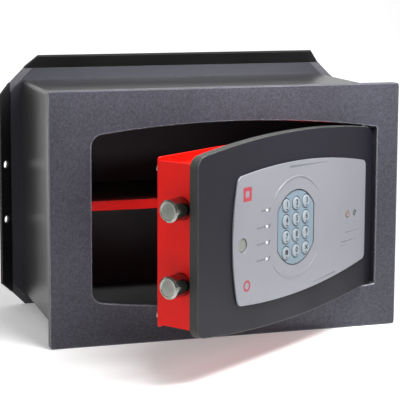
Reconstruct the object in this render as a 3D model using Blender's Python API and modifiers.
"""Wall safe with a motor-driven bolt work and an electronic keypad, standing with its door ajar.

Frame: +Z up, the door faces -Y, +X to the right. The origin is the middle of the rear face of the
back plate at half the height of the front plate. All lengths are in metres.
"""

import math

import bmesh
import bpy
from mathutils import Matrix

# ---- driving dimensions: the frame set into the wall ------------------------------------------
FRONT_W = 0.390
FRONT_H = 0.270
FRONT_T = 0.010
DEPTH = 0.210
GAP = 0.0003
EDGE = 0.0008
ARCH_PROBE = 0.02

FRONT_Y = -DEPTH
PLATE_BACK_Y = FRONT_Y + FRONT_T
HALF_W = FRONT_W / 2
HALF_H = FRONT_H / 2

OPENING_LEFT = -0.1498
OPENING_RIGHT = 0.1696
OPENING_APEX = 0.0985
OPENING_MID = (OPENING_LEFT + OPENING_RIGHT) / 2
ARCH_R = 1.150
OPENING_CORNER_R = 0.013
OPENING_HINGE_R = 0.0012
FRONT_CORNER_R = 0.003

SHEET = 0.003
SHELL_HALF_W = 0.184
SHELL_TOP = 0.1285
SHELL_BOTTOM = -0.1225
SHELL_CORNER_R = 0.004
FLANGE_W = 0.0142
BACK_T = 0.003
WING_W = 0.020
WING_TILT = math.radians(45)
WING_HOLE_R = 0.0045
WING_HOLE_Z = 0.032
WING_ROOT = 0.0006
BACK_HIGH_CUT = 0.017
BACK_LOW_CUT = 0.015
WING_END_CUT = 0.014
FLANGE_T = 0.0025
FLANGE_INSET = 0.0008
MAT_T = 0.003
MAT_MARGIN = 0.0015

# ---- driving dimensions: the door --------------------------------------------------------------
DOOR_OPEN = math.radians(35.5)
DOOR_T = 0.010
HINGE_X = 0.1552
HINGE_Y = FRONT_Y + DOOR_T / 2
DOOR_LEFT = -0.1482
DOOR_RIGHT = 0.1686
DOOR_APEX = 0.0970
DOOR_CORNER_R = 0.0115
DOOR_HINGE_R = 0.0006

PIN_R = 0.0025
PIN_LENGTH = 0.024
PIN_REACH = 0.0115
PIN_HOLE_DEPTH = 0.013
PIN_PLAY = 0.0002
BUSH_R = 0.0035
BUSH_START = 0.0010
BUSH_END = 0.0120
BUSH_HOLE_DEPTH = 0.0125
BUSH_HOLE_LEAD = 0.003

# Below, places on the door are measured from the hinge axis with the door shut: x to the right,
# y towards the back of the safe, z up.
DOOR_FRONT = -DOOR_T / 2
DOOR_REAR = DOOR_T / 2

CASE_LEFT = -0.3002
CASE_RIGHT = -0.0302
CASE_HALF_H = 0.080
CASE_FRONT = DOOR_REAR + GAP
CASE_REAR = 0.0447
CASE_SHEET = 0.002
CASE_RECESS = 0.005
COVER_T = 0.002
COVER_RISE = 0.0030
COVER_INSET = 0.0008
COVER_CORNER_R = 0.002

BATTERY_LEFT = -0.150
BATTERY_RIGHT = -0.086
BATTERY_HALF_H = 0.034
HOLDER_FRONT = 0.0235
HOLDER_WALL = 0.002
CELL_R = 0.00715
CELL_LENGTH = 0.0500
CELL_PITCH = 0.0155
CELL_Y = 0.0348
POLE_R = 0.0026
POLE_H = 0.0012

SCREW_HEAD_R = 0.0040
SCREW_HEAD_H = 0.0034
SCREW_INSET = 0.0050
SCREW_Z = 0.0715

BOLT_R = 0.011
BOLT_Z = 0.0366
BOLT_Y = 0.017
BOLT_TIP = -0.3212
BOLT_SHOULDER = -0.2523
BOLT_TAIL = -0.2430
BOLT_TAIL_R = 0.005
BOLT_CHAMFER = 0.0015
BOLT_DISH = 0.0006
RUNNING_GAP = 0.0003
CARRIAGE_LEFT = -0.252
CARRIAGE_RIGHT = -0.246
CARRIAGE_HALF_H = 0.050
CARRIAGE_FRONT = 0.008
CARRIAGE_BACK = 0.034
GUIDE_LENGTH = 0.024
GUIDE_HALF_H = 0.016

MODULE = 0.001
PINION_TEETH = 12
PINION_R = MODULE * PINION_TEETH / 2
PINION_X = -0.205
RACK_Z = 0.002
RACK_TEETH = 12
GEAR_FRONT = 0.0095
GEAR_BACK = 0.0165
TOOTH_PLAY = 0.00012
FLANK = math.radians(20)
RACK_DEPTH = 0.010
SHAFT_R = 0.0025
MOTOR_HALF_W = 0.012
MOTOR_FRONT = 0.0180
MOTOR_BACK = 0.0360
MOTOR_LOW = 0.010
MOTOR_HIGH = 0.018
CAN_R = 0.0105
CAN_LENGTH = 0.034
CAN_CAP_R = 0.0040
CAN_CAP_H = 0.004
ARMOUR_T = 0.003
BOARD_FRONT = 0.0140
BOARD_T = 0.0016
DOG_LENGTH = 0.120

# ---- driving dimensions: the control panel on the door -----------------------------------------
PANEL_T = 0.0018
PANEL_BACK = DOOR_FRONT - GAP
PANEL_FRONT = PANEL_BACK - PANEL_T
PANEL_LEFT = -0.2500
PANEL_RIGHT = -0.0048
PANEL_MID_X = -0.1537
PANEL_MID_Z = -0.0025
PANEL_APEX = 0.0688
PANEL_ARCH_R = 0.750
PANEL_SIDE_BULGE = 0.0090
KEYPAD_X = -0.1407
KEYPAD_Z = -0.0020
KEYPAD_R = 0.0385
KEYPAD_HALF_W = 0.0329
KEY_PITCH_X = 0.01805
KEY_PITCH_Z = 0.0164
POCKET_HALF_W = 0.030
POCKET_HALF_H = 0.034
POCKET_DEPTH = 0.0016
KEY_MAT_T = 0.0011
KEY_MAT_MARGIN = 0.0005
KEY_R = 0.0066
KEY_HOLE_R = 0.0070
CABLE_X = -0.1530
CABLE_Z = -0.0420
CABLE_R = 0.0012
CABLE_HOLE_R = 0.0040

CAP_X = -0.2338
CAP_Z = -0.0067
CAP_R = 0.0068
BARREL_R = 0.0088
BARREL_FRONT = 0.0048
BARREL_BACK = 0.0047
LAMP_X = -0.1925
LAMP_R = 0.0014
CONTACTS = (("left", -0.0406, 0.0040, "brass"), ("right", -0.0262, 0.0030, "zinc"))
CONTACT_Z = -0.0030

SHELF_TOP = 0.0057
SHELF_LIP = 0.0108
SHELF_FRONT_Y = FRONT_Y + 0.078
SHELF_BACK_Y = -0.0045
SHELF_SHEET = 0.0015
SHELF_SIDE_GAP = 0.001
BRACKET_LEG = 0.014
BRACKET_SHEET = 0.0015
BRACKET_SETBACK = 0.006

# ---- turns of the sub-parts --------------------------------------------------------------------
FACING_FRONT = (math.pi / 2, 0.0, 0.0)
SECTION_ALONG_X = (math.pi / 2, 0.0, math.pi / 2)
ROD_ALONG_Y = FACING_FRONT
ROD_ALONG_X = (0.0, math.pi / 2, 0.0)
UPRIGHT = (0.0, 0.0, 0.0)
UPPER_AND_LOWER = (("upper", 1), ("lower", -1))

COLOURS = {
    "frame_paint": ((0.105, 0.105, 0.125), 0.45, 0.35),
    "door_paint": ((0.045, 0.043, 0.052), 0.50, 0.20),
    "black_steel": ((0.018, 0.016, 0.016), 0.55, 0.10),
    "red_paint": ((0.62, 0.020, 0.012), 0.40, 0.00),
    "carpet": ((0.020, 0.020, 0.022), 0.95, 0.00),
    "chrome": ((0.62, 0.60, 0.57), 0.18, 1.00),
    "zinc": ((0.50, 0.50, 0.49), 0.35, 1.00),
    "brass": ((0.66, 0.44, 0.17), 0.30, 1.00),
    "panel_silver": ((0.46, 0.48, 0.52), 0.40, 0.40),
    "keypad_blue": ((0.29, 0.43, 0.51), 0.45, 0.10),
    "key_grey": ((0.60, 0.66, 0.70), 0.40, 0.00),
    "rubber": ((0.05, 0.05, 0.05), 0.80, 0.00),
    "lens": ((0.75, 0.77, 0.76), 0.15, 0.00),
    "board_green": ((0.02, 0.17, 0.07), 0.50, 0.00),
    "black_plastic": ((0.025, 0.025, 0.025), 0.50, 0.00),
    "cell_jacket": ((0.08, 0.16, 0.35), 0.40, 0.10),
}


# ---- scene and materials -----------------------------------------------------------------------
def clear_scene():
    for old in list(bpy.data.objects):
        bpy.data.objects.remove(old, do_unlink=True)


def new_collection(name):
    group = bpy.data.collections.new(name)
    bpy.context.scene.collection.children.link(group)
    return group


def new_material(name):
    colour, roughness, metallic = COLOURS[name]
    made = bpy.data.materials.new(name)
    made.use_nodes = True
    shader = made.node_tree.nodes["Principled BSDF"]
    shader.inputs["Base Color"].default_value = (*colour, 1.0)
    shader.inputs["Roughness"].default_value = roughness
    shader.inputs["Metallic"].default_value = metallic
    return made


# ---- small modelling helpers -------------------------------------------------------------------
def arc(cx, cy, radius, start, end, steps):
    """Points along an arc, angles in degrees, both ends included."""
    angles = [math.radians(start + (end - start) * i / steps) for i in range(steps + 1)]
    return [(cx + radius * math.cos(a), cy + radius * math.sin(a)) for a in angles]


def circle(cx, cy, radius, steps=24):
    return arc(cx, cy, radius, 0, 360, steps)[:-1]


def rounded_box_outline(left, bottom, right, top, radius, steps=4):
    corners = (
        (right - radius, top - radius, 0),
        (left + radius, top - radius, 90),
        (left + radius, bottom + radius, 180),
        (right - radius, bottom + radius, 270),
    )
    points = []
    for cx, cy, start in corners:
        points += arc(cx, cy, radius, start, start + 90, steps)
    return points


def fillet(before, corner, after, radius, steps):
    """Round the corner between the edges before-corner and corner-after."""
    ax, ay = before[0] - corner[0], before[1] - corner[1]
    bx, by = after[0] - corner[0], after[1] - corner[1]
    la, lb = math.hypot(ax, ay), math.hypot(bx, by)
    ax, ay, bx, by = ax / la, ay / la, bx / lb, by / lb
    half = math.acos(max(-1.0, min(1.0, ax * bx + ay * by))) / 2
    reach = radius / math.tan(half)
    mx, my = ax + bx, ay + by
    lm = math.hypot(mx, my)
    away = radius / math.sin(half)
    centre = (corner[0] + mx / lm * away, corner[1] + my / lm * away)
    first = math.atan2(corner[1] + ay * reach - centre[1], corner[0] + ax * reach - centre[0])
    last = math.atan2(corner[1] + by * reach - centre[1], corner[0] + bx * reach - centre[0])
    turn = (last - first + math.pi) % (2 * math.pi) - math.pi
    angles = [first + turn * i / steps for i in range(steps + 1)]
    return [(centre[0] + radius * math.cos(a), centre[1] + radius * math.sin(a)) for a in angles]


def arch_height(x, mid, apex, radius):
    """Height above the middle line of an arch whose top is at apex over x = mid."""
    return apex - radius + math.sqrt(radius * radius - (x - mid) ** 2)


def arched_outline(left, right, mid, apex, radius, left_r, right_r, steps=20):
    """Straight sides, with the same shallow arch above and below; left and right corners rounded."""
    def edge(x):
        return arch_height(x, mid, apex, radius)

    near_left = (left + ARCH_PROBE, edge(left + ARCH_PROBE))
    near_right = (right - ARCH_PROBE, edge(right - ARCH_PROBE))
    first = fillet((left, 0.0), (left, edge(left)), near_left, left_r, 6)
    second = fillet(near_right, (right, edge(right)), (right, 0.0), right_r, 2)
    start, end = left + left_r * 1.6, right - right_r * 3
    xs = [start + (end - start) * i / steps for i in range(steps + 1)]
    upper = first + [(x, edge(x)) for x in xs] + second
    return upper + [(x, -z) for x, z in reversed(upper)]


def finish(obj, colour, edge=0.0, smooth=True, segments=1):
    """Material, bevelled edges and smooth round faces."""
    obj.data.materials.clear()
    obj.data.materials.append(MATERIALS[colour])
    if edge:
        bevel = obj.modifiers.new("edges", "BEVEL")
        bevel.width = edge
        bevel.segments = segments
        bevel.limit_method = "ANGLE"
        bevel.angle_limit = math.radians(35)
    if smooth:
        obj.data.shade_smooth()
        obj.data.set_sharp_from_angle(angle=math.radians(30))
    return obj


def place(obj, where, turn, parent):
    obj.location = where
    obj.rotation_euler = turn
    if parent:
        obj.parent = parent


def mesh_object(name, mesh, where, turn, parent, group):
    obj = bpy.data.objects.new(name, mesh)
    group.objects.link(obj)
    place(obj, where, turn, parent)
    return obj


def slab(name, outlines, thickness, where, turn=FACING_FRONT, parent=None, group=None):
    """A flat plate: a filled outline with holes, extruded; its local x and y lie in the outline."""
    curve = bpy.data.curves.new(name + "_outline", "CURVE")
    curve.dimensions = "2D"
    curve.fill_mode = "BOTH"
    curve.extrude = thickness / 2
    for outline in outlines:
        spline = curve.splines.new("POLY")
        spline.points.add(len(outline) - 1)
        for point, (x, y) in zip(spline.points, outline):
            point.co = (x, y, 0.0, 1.0)
        spline.use_cyclic_u = True
    guide = bpy.data.objects.new(name + "_outline", curve)
    bpy.context.scene.collection.objects.link(guide)
    bpy.context.view_layer.update()
    mesh = bpy.data.meshes.new_from_object(guide.evaluated_get(bpy.context.evaluated_depsgraph_get()))
    bpy.data.objects.remove(guide)
    mesh.name = name
    work = bmesh.new()
    work.from_mesh(mesh)
    bmesh.ops.remove_doubles(work, verts=work.verts, dist=0.00001)
    bmesh.ops.dissolve_limit(work, angle_limit=0.001, verts=work.verts, edges=work.edges)
    bmesh.ops.recalc_face_normals(work, faces=work.faces)
    work.to_mesh(mesh)
    work.free()
    return mesh_object(name, mesh, where, turn, parent, group or PARTS)


def box(name, low, high, parent=None, group=None):
    """A block between two corners, from a unit cube."""
    mesh = bpy.data.meshes.new(name)
    work = bmesh.new()
    bmesh.ops.create_cube(work, size=1.0)
    size = [b - a for a, b in zip(low, high)]
    bmesh.ops.scale(work, vec=size, verts=work.verts)
    work.to_mesh(mesh)
    work.free()
    middle = [(a + b) / 2 for a, b in zip(low, high)]
    return mesh_object(name, mesh, middle, UPRIGHT, parent, group or PARTS)


def rod(name, radius, length, middle, turn, parent=None, group=None, steps=24, tip_radius=None):
    """A cylinder, or a cone with tip_radius, along its local Z."""
    mesh = bpy.data.meshes.new(name)
    work = bmesh.new()
    end = radius if tip_radius is None else tip_radius
    bmesh.ops.create_cone(work, cap_ends=True, segments=steps, radius1=radius, radius2=end, depth=length)
    work.to_mesh(mesh)
    work.free()
    return mesh_object(name, mesh, middle, turn, parent, group or PARTS)


def turned(name, profile, where, turn, parent=None, group=None, steps=24):
    """A turned shape about its local Z; the profile (radius, height) runs from the top down."""
    mesh = bpy.data.meshes.new(name)
    verts = [(r, 0.0, h) for r, h in profile]
    mesh.from_pydata(verts, [(i, i + 1) for i in range(len(verts) - 1)], [])
    obj = mesh_object(name, mesh, where, turn, parent, group or PARTS)
    screw = obj.modifiers.new("turn", "SCREW")
    screw.steps = steps
    screw.render_steps = steps
    screw.use_merge_vertices = True
    screw.merge_threshold = 0.00001
    return obj


def combine(obj, other, operation):
    """Boolean with a helper object, which stays among the cutters."""
    helper = obj.modifiers.new(other.name, "BOOLEAN")
    helper.operation = operation
    helper.solver = "EXACT"
    helper.object = other
    other.hide_render = True
    other.display_type = "WIRE"


def cut(obj, *others):
    for other in others:
        combine(obj, other, "DIFFERENCE")


def join(obj, *others):
    for other in others:
        combine(obj, other, "UNION")


def hinge_edge():
    """Height of the opening's edge at the hinge axis."""
    return arch_height(HINGE_X, OPENING_MID, OPENING_APEX, ARCH_R)


# ---- the frame: what is cemented into the wall -------------------------------------------------
def front_plate():
    """Steel plate round the arched door opening, drilled above and below for the hinge bushes."""
    outer = rounded_box_outline(-HALF_W, -HALF_H, HALF_W, HALF_H, FRONT_CORNER_R, 3)
    opening = arched_outline(
        OPENING_LEFT, OPENING_RIGHT, OPENING_MID, OPENING_APEX, ARCH_R, OPENING_CORNER_R, OPENING_HINGE_R
    )
    plate = slab("front_plate", [outer, opening], FRONT_T, (0, FRONT_Y + FRONT_T / 2, 0))
    finish(plate, "frame_paint", EDGE)
    length = BUSH_HOLE_DEPTH + BUSH_HOLE_LEAD
    for name, side in UPPER_AND_LOWER:
        middle = (HINGE_X, HINGE_Y, side * (hinge_edge() - BUSH_HOLE_LEAD + length / 2))
        hole = rod("cut_bush_" + name, BUSH_R + RUNNING_GAP, length, middle, UPRIGHT, None, CUTTERS)
        cut(plate, hole)
    return plate


def shell_flange_outline():
    """One strip folded outwards on each side, with 45 degree ends."""
    left, right, low, high = -SHELL_HALF_W, SHELL_HALF_W, SHELL_BOTTOM, SHELL_TOP
    w = FLANGE_W - FLANGE_INSET
    foot = SHELL_BOTTOM + HALF_H
    return [
        (left, high), (left + w, high + w), (right - w, high + w), (right, high),
        (right + w, high - w), (right + w, low + w), (right, low),
        (right - foot, low - foot), (left + foot, low - foot), (left, low),
        (left - w, low + w), (left - w, high - w),
    ]


def shell_outline(inset, radius, steps):
    return rounded_box_outline(
        -SHELL_HALF_W + inset, SHELL_BOTTOM + inset, SHELL_HALF_W - inset, SHELL_TOP - inset, radius, steps
    )


def body_shell():
    rear = -BACK_T - GAP
    start = PLATE_BACK_Y + GAP
    end = rear - FLANGE_T / 5
    bend_r = SHEET / 2
    rings = [shell_outline(0.0, SHELL_CORNER_R, 4), shell_outline(SHEET, bend_r, 2)]
    tube = slab("body_shell", rings, end - start, (0, (start + end) / 2, 0))
    rings = [shell_flange_outline(), shell_outline(SHEET / 2, bend_r, 2)]
    flange = slab("join_flange", rings, FLANGE_T, (0, rear - FLANGE_T / 2, 0), FACING_FRONT, None, CUTTERS)
    join(tube, flange)
    return finish(tube, "frame_paint")


def wing_outline(length, cut_length, holes):
    """A folded wing: root along local x, 45 degree cut ends, with its fixing holes."""
    half = length / 2
    root = -WING_ROOT
    lines = [
        [
            (-half, root), (half, root), (half, 0.0), (half - cut_length, WING_W),
            (-half + cut_length, WING_W), (-half, 0.0),
        ],
    ]
    return lines + [circle(x, WING_W / 2, WING_HOLE_R, 20) for x in holes]


def back_plate():
    """Flat rear wall with a fixing wing folded forward on the left, on the right and on top."""
    side = SHELL_HALF_W + FLANGE_W
    top = SHELL_TOP + FLANGE_W
    high_cut, low_cut = BACK_HIGH_CUT, BACK_LOW_CUT
    outline = [
        (-side, -HALF_H + low_cut), (-side + low_cut, -HALF_H), (side - low_cut, -HALF_H),
        (side, -HALF_H + low_cut), (side, top - high_cut), (side - high_cut, top),
        (-side + high_cut, top), (-side, top - high_cut),
    ]
    plate = slab("back_plate", [outline], BACK_T, (0, -BACK_T / 2, 0))
    length = top - high_cut + HALF_H - low_cut
    middle = (top - high_cut - HALF_H + low_cut) / 2
    mid = -BACK_T / 2
    holes = (-WING_HOLE_Z - middle, WING_HOLE_Z - middle)
    # each wing leans forward from the edge where it is folded
    for name, sign in (("left", -1), ("right", 1)):
        places = holes if sign < 0 else tuple(-h for h in holes)
        outline = wing_outline(length, WING_END_CUT, places)
        where = (sign * side, mid, middle)
        join(plate, slab("join_wing_" + name, outline, BACK_T, where, wing_turn(sign), None, CUTTERS))
    outline = wing_outline(2 * (side - high_cut), WING_END_CUT, ())
    turn = (math.pi / 2 + WING_TILT, 0, 0)
    join(plate, slab("join_wing_top", outline, BACK_T, (0, mid, top), turn, None, CUTTERS))
    return finish(plate, "black_steel")


def wing_turn(sign):
    """Local x runs up (left) or down (right), local y points outwards and forwards."""
    out = (sign * math.cos(WING_TILT), -math.sin(WING_TILT), 0.0)
    along = (0.0, 0.0, -float(sign))
    normal = (
        along[1] * out[2] - along[2] * out[1],
        along[2] * out[0] - along[0] * out[2],
        along[0] * out[1] - along[1] * out[0],
    )
    return Matrix((along, out, normal)).transposed().to_euler()


def shelf():
    """A tray shelf bent down along its front edge; its section runs in y and z."""
    front, back, top, low = SHELF_FRONT_Y, SHELF_BACK_Y, SHELF_TOP, SHELF_TOP - SHELF_LIP
    s = SHELF_SHEET
    section = [
        (front, low), (front + s, low), (front + s, top - s), (back, top - s), (back, top), (front, top),
    ]
    width = 2 * (SHELL_HALF_W - SHEET - SHELF_SIDE_GAP)
    part = slab("shelf", [section], width, (0, 0, 0), SECTION_ALONG_X)
    return finish(part, "red_paint", 0.0003)


def shelf_bracket(name, sign):
    """Angle welded to a side wall, its flat leg under the shelf."""
    wall = SHELL_HALF_W - SHEET - GAP
    leg, s = BRACKET_LEG, BRACKET_SHEET
    top = SHELF_TOP - SHELF_SHEET - GAP
    section = [
        (sign * wall, top), (sign * (wall - leg), top), (sign * (wall - leg), top - s),
        (sign * (wall - s), top - s), (sign * (wall - s), top - leg), (sign * wall, top - leg),
    ]
    front = SHELF_FRONT_Y + BRACKET_SETBACK
    length = SHELF_BACK_Y - BRACKET_SETBACK - front
    part = slab(name, [section], length, (0, front + length / 2, 0))
    return finish(part, "black_steel")


def floor_mat():
    """Felt sheet lying on the floor of the safe."""
    half = SHELL_HALF_W - SHEET - MAT_MARGIN
    floor = SHELL_BOTTOM + SHEET + GAP
    low = (-half, PLATE_BACK_Y + MAT_MARGIN, floor)
    high = (half, -BACK_T - GAP - MAT_MARGIN, floor + MAT_T)
    return finish(box("floor_mat", low, high), "carpet", EDGE)


def hinge_bush(name, sign):
    """A plain bearing bush let into the front plate above or below the opening."""
    low, high = hinge_edge() + BUSH_START, hinge_edge() + BUSH_END
    bore = PIN_R + PIN_PLAY
    profile = [(bore, high), (BUSH_R, high), (BUSH_R, low), (bore, low), (bore, high)]
    if sign < 0:
        profile = [(bore, -low), (BUSH_R, -low), (BUSH_R, -high), (bore, -high), (bore, -low)]
    part = turned(name, profile, (HINGE_X, HINGE_Y, 0), UPRIGHT, None, None, 20)
    return finish(part, "brass")


def hinge_pin(name, sign):
    """Short pin that runs in its bush and reaches into the edge of the door."""
    middle = sign * (hinge_edge() + PIN_REACH - PIN_LENGTH / 2)
    part = rod(name, PIN_R, PIN_LENGTH, (HINGE_X, HINGE_Y, middle), UPRIGHT, None, None, 20)
    return finish(part, "zinc", 0.0004)


# ---- the door ----------------------------------------------------------------------------------
def door_plate(hinge):
    """Arched plate, drilled for the hinge pins, the cable and the emergency lock."""
    left, right = DOOR_LEFT - HINGE_X, DOOR_RIGHT - HINGE_X
    mid = OPENING_MID - HINGE_X
    outline = arched_outline(left, right, mid, DOOR_APEX, ARCH_R, DOOR_CORNER_R, DOOR_HINGE_R)
    plate = slab("door_plate", [outline], DOOR_T, (0, 0, 0), FACING_FRONT, hinge)
    finish(plate, "door_paint", EDGE)
    edge = arch_height(0.0, mid, DOOR_APEX, ARCH_R)
    lead = PIN_R
    length = PIN_HOLE_DEPTH + lead
    for name, sign in UPPER_AND_LOWER:
        middle = (0, 0, sign * (edge + lead - length / 2))
        cut(plate, rod("cut_pin_" + name, PIN_R + PIN_PLAY, length, middle, UPRIGHT, hinge, CUTTERS, 20))
    low = (KEYPAD_X - POCKET_HALF_W, DOOR_FRONT - EDGE, KEYPAD_Z - POCKET_HALF_H)
    high = (KEYPAD_X + POCKET_HALF_W, DOOR_FRONT + POCKET_DEPTH, KEYPAD_Z + POCKET_HALF_H)
    cut(plate, box("cut_key_pocket", low, high, hinge, CUTTERS))
    through = 3 * DOOR_T
    cable_at, lock_at = (CABLE_X, 0, CABLE_Z), (CAP_X, 0, CAP_Z)
    cut(plate, rod("cut_cable", CABLE_HOLE_R, through, cable_at, ROD_ALONG_Y, hinge, CUTTERS, 20))
    cut(plate, rod("cut_lock", BARREL_R + 0.0004, through, lock_at, ROD_ALONG_Y, hinge, CUTTERS, 28))
    return plate


def lock_case(hinge):
    """Three walls of the red case on the door: above and below set in a little, and the hinge side."""
    right, h, s = CASE_RIGHT, CASE_HALF_H, CASE_SHEET
    start = CASE_LEFT + s + GAP
    outside, inside = h - CASE_RECESS, h - CASE_RECESS - s
    outline = [
        (start, -outside), (right - s, -outside), (right - s, -h), (right, -h), (right, h), (right - s, h),
        (right - s, outside), (start, outside), (start, inside), (right - s, inside),
        (right - s, -inside), (start, -inside),
    ]
    depth = CASE_REAR - CASE_FRONT
    case = slab("lock_case", [outline], depth, (0, CASE_FRONT + depth / 2, 0), FACING_FRONT, hinge)
    return finish(case, "red_paint")


def bolt_side_wall(hinge):
    """Fourth wall of the lock case, with the holes that the bolts come through."""
    left, right = CASE_LEFT, CASE_LEFT + CASE_SHEET
    wall = box("bolt_side_wall", (left, CASE_FRONT, -CASE_HALF_H), (right, CASE_REAR, CASE_HALF_H), hinge)
    length = 5 * CASE_SHEET
    for name, sign in UPPER_AND_LOWER:
        middle = ((left + right) / 2, BOLT_Y, sign * BOLT_Z)
        cut(wall, rod("cut_case_" + name, BOLT_R + 0.0004, length, middle, ROD_ALONG_X, hinge, CUTTERS, 32))
    return finish(wall, "red_paint")


def lock_case_cover(hinge):
    """Back of the tray, standing a little above it, with the window of the battery box."""
    left, right = CASE_LEFT + COVER_INSET, CASE_RIGHT - COVER_INSET
    high = CASE_HALF_H + COVER_RISE
    outer = rounded_box_outline(left, -high, right, high, COVER_CORNER_R, 2)
    window = rounded_box_outline(
        BATTERY_LEFT, -BATTERY_HALF_H, BATTERY_RIGHT, BATTERY_HALF_H, COVER_CORNER_R, 2
    )
    y = CASE_REAR + GAP + COVER_T / 2
    part = slab("lock_case_cover", [outer, window], COVER_T, (0, y, 0), FACING_FRONT, hinge)
    return finish(part, "red_paint", 0.0003)


def battery_cover(hinge):
    """Lid in the window of the lock case cover."""
    inset = 0.0005
    left, right, half = BATTERY_LEFT + inset, BATTERY_RIGHT - inset, BATTERY_HALF_H - inset
    outline = rounded_box_outline(left, -half, right, half, COVER_CORNER_R - inset, 2)
    y = CASE_REAR + GAP + COVER_T / 2
    part = slab("battery_cover", [outline], COVER_T, (0, y, 0), FACING_FRONT, hinge)
    return finish(part, "black_plastic", 0.0004)


def cover_screw(name, x, z, hinge):
    """Dome head resting on the cover."""
    base = CASE_REAR + GAP + COVER_T + GAP
    swing = [math.radians(25 * i) for i in range(4)]
    rim = [(SCREW_HEAD_R * math.cos(a), SCREW_HEAD_H * math.sin(a)) for a in swing]
    profile = [(0.0, SCREW_HEAD_H)] + rim[::-1] + [(0.0, 0.0)]
    part = turned(name, profile, (x, base, z), (-math.pi / 2, 0, 0), hinge, None, 16)
    return finish(part, "chrome")


def lock_bolt(name, sign, hinge):
    """Round bolt with a chamfered nose and a thin tail that the carriage holds."""
    c, r, t = BOLT_CHAMFER, BOLT_R, BOLT_TAIL_R
    nose, shoulder, tail = -BOLT_TIP, -BOLT_SHOULDER, -BOLT_TAIL
    deep = nose - BOLT_DISH
    profile = [
        (0.0, deep), (r - 2 * c, deep), (r - 1.6 * c, nose), (r - c, nose), (r, nose - c),
        (r, shoulder), (t, shoulder), (t, tail), (0.0, tail),
    ]
    part = turned(name, profile, (0, BOLT_Y, sign * BOLT_Z), (0, -math.pi / 2, 0), hinge, None, 32)
    return finish(part, "chrome")


def rack_outline(left, right, low):
    """Upper edge is the toothing, in phase with the pinion standing over PINION_X."""
    pitch = math.pi * MODULE
    tip, root = RACK_Z + 0.9 * MODULE, RACK_Z - 1.2 * MODULE
    slope = math.tan(FLANK)
    points = [(left, low), (right, low), (right, root)]
    for i in range(RACK_TEETH):
        x = PINION_X + pitch * (1 - i)
        half = pitch / 4 - TOOTH_PLAY
        wide = half + (RACK_Z - root) * slope
        thin = half - (tip - RACK_Z) * slope
        points += [(x + wide, root), (x + thin, tip), (x - thin, tip), (x - wide, root)]
    return points + [(left, root)]


def bolt_carriage(hinge):
    """Upright bar that holds both bolts, with the rack arm that the motor drives."""
    low = (CARRIAGE_LEFT, CARRIAGE_FRONT, -CARRIAGE_HALF_H)
    high = (CARRIAGE_RIGHT, CARRIAGE_BACK, CARRIAGE_HALF_H)
    bar = box("bolt_carriage", low, high, hinge)
    depth = GEAR_BACK - GEAR_FRONT
    rack_left = (3 * CARRIAGE_RIGHT + CARRIAGE_LEFT) / 4
    rack_right = PINION_X + math.pi * MODULE * 1.6
    outline = rack_outline(rack_left, rack_right, RACK_Z - RACK_DEPTH)
    rack = slab("join_rack", [outline], depth, (0, GEAR_FRONT + depth / 2, 0), FACING_FRONT, hinge, CUTTERS)
    join(bar, rack)
    across = (CARRIAGE_LEFT + CARRIAGE_RIGHT) / 2
    for name, sign in UPPER_AND_LOWER:
        middle = (across, BOLT_Y, sign * BOLT_Z)
        cut(bar, rod("cut_tail_" + name, BOLT_TAIL_R + GAP, 0.02, middle, ROD_ALONG_X, hinge, CUTTERS, 24))
    return finish(bar, "zinc")


def bolt_guide(name, sign, hinge):
    """Block behind the side wall that the bolt slides in, open towards the door plate."""
    left = CASE_LEFT + CASE_SHEET + GAP
    middle = sign * BOLT_Z
    low = (left, CARRIAGE_FRONT, middle - GUIDE_HALF_H)
    high = (left + GUIDE_LENGTH, CARRIAGE_BACK, middle + GUIDE_HALF_H)
    part = box(name, low, high, hinge)
    bore = (left + GUIDE_LENGTH / 2, BOLT_Y, middle)
    length = 2 * GUIDE_LENGTH
    cut(part, rod("cut_" + name, BOLT_R + RUNNING_GAP, length, bore, ROD_ALONG_X, hinge, CUTTERS, 32))
    return finish(part, "zinc")


def pinion_outline():
    """Twelve teeth with straight flanks; a gap, not a tooth, points down at the rack."""
    points = []
    root, tip = PINION_R - 1.2 * MODULE, PINION_R + 0.85 * MODULE
    step = 2 * math.pi / PINION_TEETH
    quarter = step / 4 - TOOTH_PLAY / PINION_R
    lean = math.tan(FLANK) / PINION_R
    at_root = quarter + (PINION_R - root) * lean * 0.6
    at_tip = quarter - (tip - PINION_R) * lean * 1.15
    rising = [(root, -at_root), (PINION_R, -quarter), (tip, -at_tip)]
    tooth = rising + [(radius, -angle) for radius, angle in reversed(rising)]
    for i in range(PINION_TEETH):
        middle = -math.pi / 2 + step * (i + 0.5)
        points += [(r * math.cos(middle + a), r * math.sin(middle + a)) for r, a in tooth]
    return points


def motor_pinion(hinge):
    """Pinion with the stub shaft that runs in the gearbox."""
    z = RACK_Z + PINION_R
    where = (PINION_X, (GEAR_FRONT + GEAR_BACK) / 2, z)
    thickness = GEAR_BACK - GEAR_FRONT - MODULE
    gear = slab("motor_pinion", [pinion_outline()], thickness, where, FACING_FRONT, hinge)
    shaft = (PINION_X, GEAR_BACK + 0.002, z)
    join(gear, rod("join_shaft", SHAFT_R, 0.009, shaft, ROD_ALONG_Y, hinge, CUTTERS, 16))
    return finish(gear, "brass")


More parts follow.
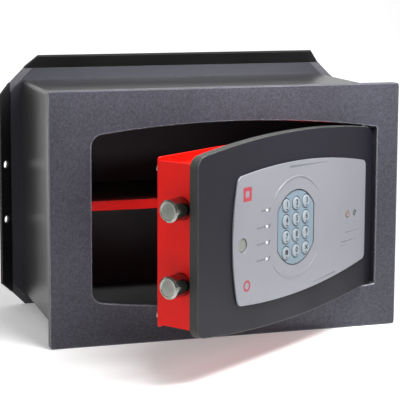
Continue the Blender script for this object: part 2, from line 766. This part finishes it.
def gearmotor(hinge):
    """Flat gearbox with the motor can standing on it, and a blind hole for the pinion's shaft."""
    z = RACK_Z + PINION_R
    low = (PINION_X - MOTOR_HALF_W, MOTOR_FRONT, z - MOTOR_LOW)
    high = (PINION_X + MOTOR_HALF_W, MOTOR_BACK, z + MOTOR_HIGH)
    body = box("gearmotor", low, high, hinge)
    across = (MOTOR_FRONT + MOTOR_BACK) / 2
    top = z + MOTOR_HIGH + CAN_LENGTH - 0.001
    can_at = (PINION_X, across, top - CAN_LENGTH / 2)
    cap_at = (PINION_X, across, top + CAN_CAP_H / 2 - 0.0005)
    join(body, rod("join_can", CAN_R, CAN_LENGTH, can_at, UPRIGHT, hinge, CUTTERS, 24))
    join(body, rod("join_cap", CAN_CAP_R, CAN_CAP_H, cap_at, UPRIGHT, hinge, CUTTERS, 16))
    shaft_at = (PINION_X, MOTOR_FRONT, z)
    cut(body, rod("cut_shaft", SHAFT_R + GAP, 0.012, shaft_at, ROD_ALONG_Y, hinge, CUTTERS, 16))
    return finish(body, "zinc")


def anti_drill_plate(hinge):
    """Hardened sheet behind the control panel, with the hole for the cable."""
    outline = rounded_box_outline(-0.221, -0.048, -0.070, 0.048, ARMOUR_T, 2)
    hole = circle(CABLE_X, CABLE_Z, CABLE_HOLE_R, 20)
    where = (0, DOOR_REAR + GAP + ARMOUR_T / 2, 0)
    part = slab("anti_drill_plate", [outline, hole], ARMOUR_T, where, FACING_FRONT, hinge)
    return finish(part, "black_steel", 0.0004)


def hinge_side_dog(hinge):
    """Fixed bar on the hinge side that catches behind the front plate; its section runs in x and y."""
    y0 = DOOR_REAR + GAP
    section = [
        (-0.024, y0), (0.0095, y0), (0.0125, y0 + 0.002), (0.0215, y0 + 0.002),
        (0.0215, y0 + 0.0075), (-0.024, y0 + 0.0075),
    ]
    part = slab("hinge_side_dog", [section], DOG_LENGTH, (0, 0, 0), UPRIGHT, hinge)
    return finish(part, "zinc", 0.0004)


def circuit_board(hinge):
    """Board with its processor and the socket of the keypad cable."""
    back = BOARD_FRONT + BOARD_T
    inside = back - BOARD_T / 2
    part = box("circuit_board", (-0.166, BOARD_FRONT, -0.036), (-0.076, back, 0.036), hinge)
    chip = box("join_chip", (-0.130, inside, -0.010), (-0.110, back + 0.0026, 0.010), hinge, CUTTERS)
    plug = box("join_plug", (-0.160, inside, -0.034), (-0.146, back + 0.0044, -0.028), hinge, CUTTERS)
    join(part, chip, plug)
    return finish(part, "board_green")


def battery_holder(hinge):
    """Open box behind the cover window, with a wall round the four cells."""
    wall = HOLDER_WALL
    left, right, h = BATTERY_LEFT, BATTERY_RIGHT, BATTERY_HALF_H
    low, high = (left - wall, HOLDER_FRONT, -h - wall), (right + wall, CASE_REAR, h + wall)
    part = box("battery_holder", low, high, hinge)
    low, high = (left, HOLDER_FRONT + wall, -h), (right, CASE_REAR + 0.01, h)
    cut(part, box("cut_holder", low, high, hinge, CUTTERS))
    return finish(part, "black_plastic")


def battery_cell(index, hinge):
    """Round cell with its raised pole, lying along x."""
    r, half, pole = CELL_R, CELL_LENGTH / 2, POLE_R
    neck = half - POLE_H
    profile = [(0.0, half), (pole, half), (pole, neck), (r, neck), (r, -half), (0.0, -half)]
    sign = 1 if index % 2 else -1
    where = ((BATTERY_LEFT + BATTERY_RIGHT) / 2, CELL_Y, CELL_PITCH * (index - 2.5))
    part = turned(f"battery_{index}", profile, where, (0, sign * math.pi / 2, 0), hinge, None, 16)
    return finish(part, "cell_jacket")


def keypad_cable(hinge):
    """Thin lead from the keypad through the door plate to the circuit board."""
    curve = bpy.data.curves.new("keypad_cable", "CURVE")
    curve.dimensions = "3D"
    curve.bevel_depth = CABLE_R
    curve.bevel_resolution = 1
    curve.use_fill_caps = True
    bend = 0.0035
    back = 0.0178
    straight = [(DOOR_FRONT + 0.0006, CABLE_Z)]
    corner = arc(back - bend, CABLE_Z + bend, bend, -90, 0, 6)
    points = [(CABLE_X, y, z) for y, z in straight + corner]
    spline = curve.splines.new("POLY")
    spline.points.add(len(points) - 1)
    for point, where in zip(spline.points, points):
        point.co = (*where, 1.0)
    obj = bpy.data.objects.new("keypad_cable", curve)
    PARTS.objects.link(obj)
    obj.parent = hinge
    curve.materials.append(MATERIALS["rubber"])
    return obj


# ---- the control panel -------------------------------------------------------------------------
def panel_outline():
    """Arched above and below, straight on the hinge side and bulging on the free side."""
    def edge(x):
        return arch_height(x, PANEL_MID_X, PANEL_APEX, PANEL_ARCH_R)

    left, right = PANEL_LEFT + PANEL_SIDE_BULGE, PANEL_RIGHT
    height = edge(left)
    top_left, top_right = (left, edge(left)), (right, edge(right))
    right_r, left_r = 0.006, 0.008
    near_left = (left + ARCH_PROBE, edge(left + ARCH_PROBE))
    near_right = (right - ARCH_PROBE, edge(right - ARCH_PROBE))
    side_r = (height * height + PANEL_SIDE_BULGE ** 2) / (2 * PANEL_SIDE_BULGE)
    side_x = PANEL_LEFT + side_r
    swing = math.degrees(math.asin((height - 0.010) / side_r))
    side = arc(side_x, 0.0, side_r, 180 + swing, 180 - swing, 10)
    first = fillet(side[-1], top_left, near_left, left_r, 5)
    second = fillet(near_right, top_right, (right, 0.0), right_r, 5)
    start, end = left + 0.013, right - 0.009
    xs = [start + (end - start) * i / 16 for i in range(17)]
    upper = [(x, edge(x)) for x in xs]
    half = first + upper + second
    other = [(x, -z) for x, z in reversed(half)]
    outline = side + half + other
    return [(x, z + PANEL_MID_Z) for x, z in outline]


def keypad_outline(shrink=0.0):
    """A circle cut by two upright sides."""
    r, half = KEYPAD_R - shrink, KEYPAD_HALF_W - shrink
    limit = math.degrees(math.acos(half / r))
    upper = arc(KEYPAD_X, KEYPAD_Z, r, limit, 180 - limit, 14)
    lower = arc(KEYPAD_X, KEYPAD_Z, r, 180 + limit, 360 - limit, 14)
    return upper + lower


def lamp_heights():
    return [KEYPAD_Z + KEY_PITCH_Z * (1.5 - i) for i in range(4)]


def keypad_panel(hinge):
    """Face plate with the openings for the keypad, the cap, the lenses and the contacts."""
    holes = [keypad_outline(), circle(CAP_X, CAP_Z, CAP_R + GAP, 28)]
    holes += [circle(LAMP_X, z, LAMP_R + GAP, 12) for z in lamp_heights()]
    holes += [circle(x, CONTACT_Z, r + GAP, 20) for _, x, r, _ in CONTACTS]
    y = (PANEL_FRONT + PANEL_BACK) / 2
    panel = slab("keypad_panel", [panel_outline()] + holes, PANEL_T, (0, y, 0), FACING_FRONT, hinge)
    finish(panel, "panel_silver", 0.0005)
    return panel


def key_places():
    names = ("1", "2", "3", "4", "5", "6", "7", "8", "9", "enter", "0", "clear")
    for index, name in enumerate(names):
        row, column = divmod(index, 3)
        x = KEYPAD_X + (column - 1) * KEY_PITCH_X
        z = KEYPAD_Z + (1.5 - row) * KEY_PITCH_Z
        yield "key_" + name, x, z


def keypad_base(hinge):
    """Insert that the keys stand through."""
    holes = [circle(x, z, KEY_HOLE_R, 24) for _, x, z in key_places()]
    thickness = PANEL_T - 0.0004
    y = PANEL_BACK - thickness / 2
    part = slab("keypad_base", [keypad_outline(0.0004)] + holes, thickness, (0, y, 0), FACING_FRONT, hinge)
    return finish(part, "keypad_blue")


def key(name, x, z, hinge):
    """Round key with a rounded rim and a slightly domed face; its local Z points out of the door."""
    back = PANEL_T / 2
    front = PANEL_T + 0.0011
    rim = 0.0008
    profile = [
        (0.0, front), (KEY_R * 0.55, front - 0.00012), (KEY_R - 1.2 * rim, front - 0.00035),
        (KEY_R - 0.35 * rim, front - 0.0008), (KEY_R, front - 0.0015), (KEY_R, back), (0.0, back),
    ]
    part = turned(name, profile, (x, PANEL_BACK, z), FACING_FRONT, hinge, None, 20)
    return finish(part, "key_grey")


def key_mat(hinge):
    """Sheet of silicone domes under the keys, in the pocket of the door plate."""
    w, h = POCKET_HALF_W - KEY_MAT_MARGIN, POCKET_HALF_H - KEY_MAT_MARGIN
    outline = rounded_box_outline(KEYPAD_X - w, KEYPAD_Z - h, KEYPAD_X + w, KEYPAD_Z + h, 0.002, 2)
    y = DOOR_FRONT + (POCKET_DEPTH - 0.0001) / 2
    part = slab("key_mat", [outline], KEY_MAT_T, (0, y, 0), FACING_FRONT, hinge)
    return finish(part, "rubber")


def override_lock(hinge):
    """Barrel of the emergency key lock, set through the door plate behind the cap."""
    r, front, back = BARREL_R, BARREL_FRONT, -BARREL_BACK
    profile = [(0.0, front), (r, front), (r, back), (0.0, back)]
    part = turned("override_lock", profile, (CAP_X, 0, CAP_Z), FACING_FRONT, hinge, None, 24)
    return finish(part, "brass")


def override_cap(hinge):
    """Blank disc over the emergency lock, sunk a little in the panel."""
    top = PANEL_T - 0.0009
    r = CAP_R
    profile = [(0.0, top), (r - 0.0006, top), (r, top - 0.0005), (r, 0.0003), (0.0, 0.0003)]
    part = turned("override_cap", profile, (CAP_X, PANEL_BACK, CAP_Z), FACING_FRONT, hinge, None, 24)
    return finish(part, "panel_silver")


def signal_lens(index, z, hinge):
    top, r = PANEL_T + 0.0003, LAMP_R
    profile = [(0.0, top), (r * 0.7, top - 0.0002), (r, top - 0.0007), (r, 0.0003), (0.0, 0.0003)]
    part = turned(f"signal_lens_{index}", profile, (LAMP_X, PANEL_BACK, z), FACING_FRONT, hinge, None, 12)
    return finish(part, "lens")


def power_contact(name, x, r, colour, hinge):
    """Spring contact for an outside battery, dished in the middle."""
    top = PANEL_T + 0.0002
    dish = r * 0.6
    profile = [
        (0.0, top - 0.0009), (dish * 0.7, top - 0.0008), (dish, top - 0.0001), (r - 0.0003, top),
        (r, top - 0.0003), (r, 0.0003), (0.0, 0.0003),
    ]
    part = turned(name, profile, (x, PANEL_BACK, CONTACT_Z), FACING_FRONT, hinge, None, 20)
    return finish(part, colour)


# ---- assembly ----------------------------------------------------------------------------------
def build_frame():
    front_plate()
    body_shell()
    back_plate()
    shelf()
    shelf_bracket("shelf_bracket_left", -1)
    shelf_bracket("shelf_bracket_right", 1)
    floor_mat()
    for name, sign in UPPER_AND_LOWER:
        hinge_bush("hinge_bush_" + name, sign)
        hinge_pin("hinge_pin_" + name, sign)


def build_door():
    hinge = bpy.data.objects.new("door_hinge", None)
    PARTS.objects.link(hinge)
    hinge.location = (HINGE_X, HINGE_Y, 0.0)
    hinge.rotation_euler = (0.0, 0.0, DOOR_OPEN)
    door_plate(hinge)
    lock_case(hinge)
    bolt_side_wall(hinge)
    lock_case_cover(hinge)
    battery_cover(hinge)
    columns = (CASE_LEFT + SCREW_INSET, CASE_RIGHT - SCREW_INSET)
    corners = [(x, z) for x in columns for z in (SCREW_Z, -SCREW_Z)]
    for index, (x, z) in enumerate(corners, 1):
        cover_screw(f"cover_screw_{index}", x, z, hinge)
    for name, sign in UPPER_AND_LOWER:
        lock_bolt(name + "_bolt", sign, hinge)
        bolt_guide("bolt_guide_" + name, sign, hinge)
    bolt_carriage(hinge)
    motor_pinion(hinge)
    gearmotor(hinge)
    anti_drill_plate(hinge)
    hinge_side_dog(hinge)
    circuit_board(hinge)
    battery_holder(hinge)
    for index in range(1, 5):
        battery_cell(index, hinge)
    keypad_cable(hinge)
    keypad_panel(hinge)
    keypad_base(hinge)
    key_mat(hinge)
    for name, x, z in key_places():
        key(name, x, z, hinge)
    override_lock(hinge)
    override_cap(hinge)
    for index, z in enumerate(lamp_heights(), 1):
        signal_lens(index, z, hinge)
    for side, x, r, colour in CONTACTS:
        power_contact("power_contact_" + side, x, r, colour, hinge)


clear_scene()
PARTS = new_collection("wall_safe")
CUTTERS = new_collection("cutters")
MATERIALS = {name: new_material(name) for name in COLOURS}
build_frame()
build_door()
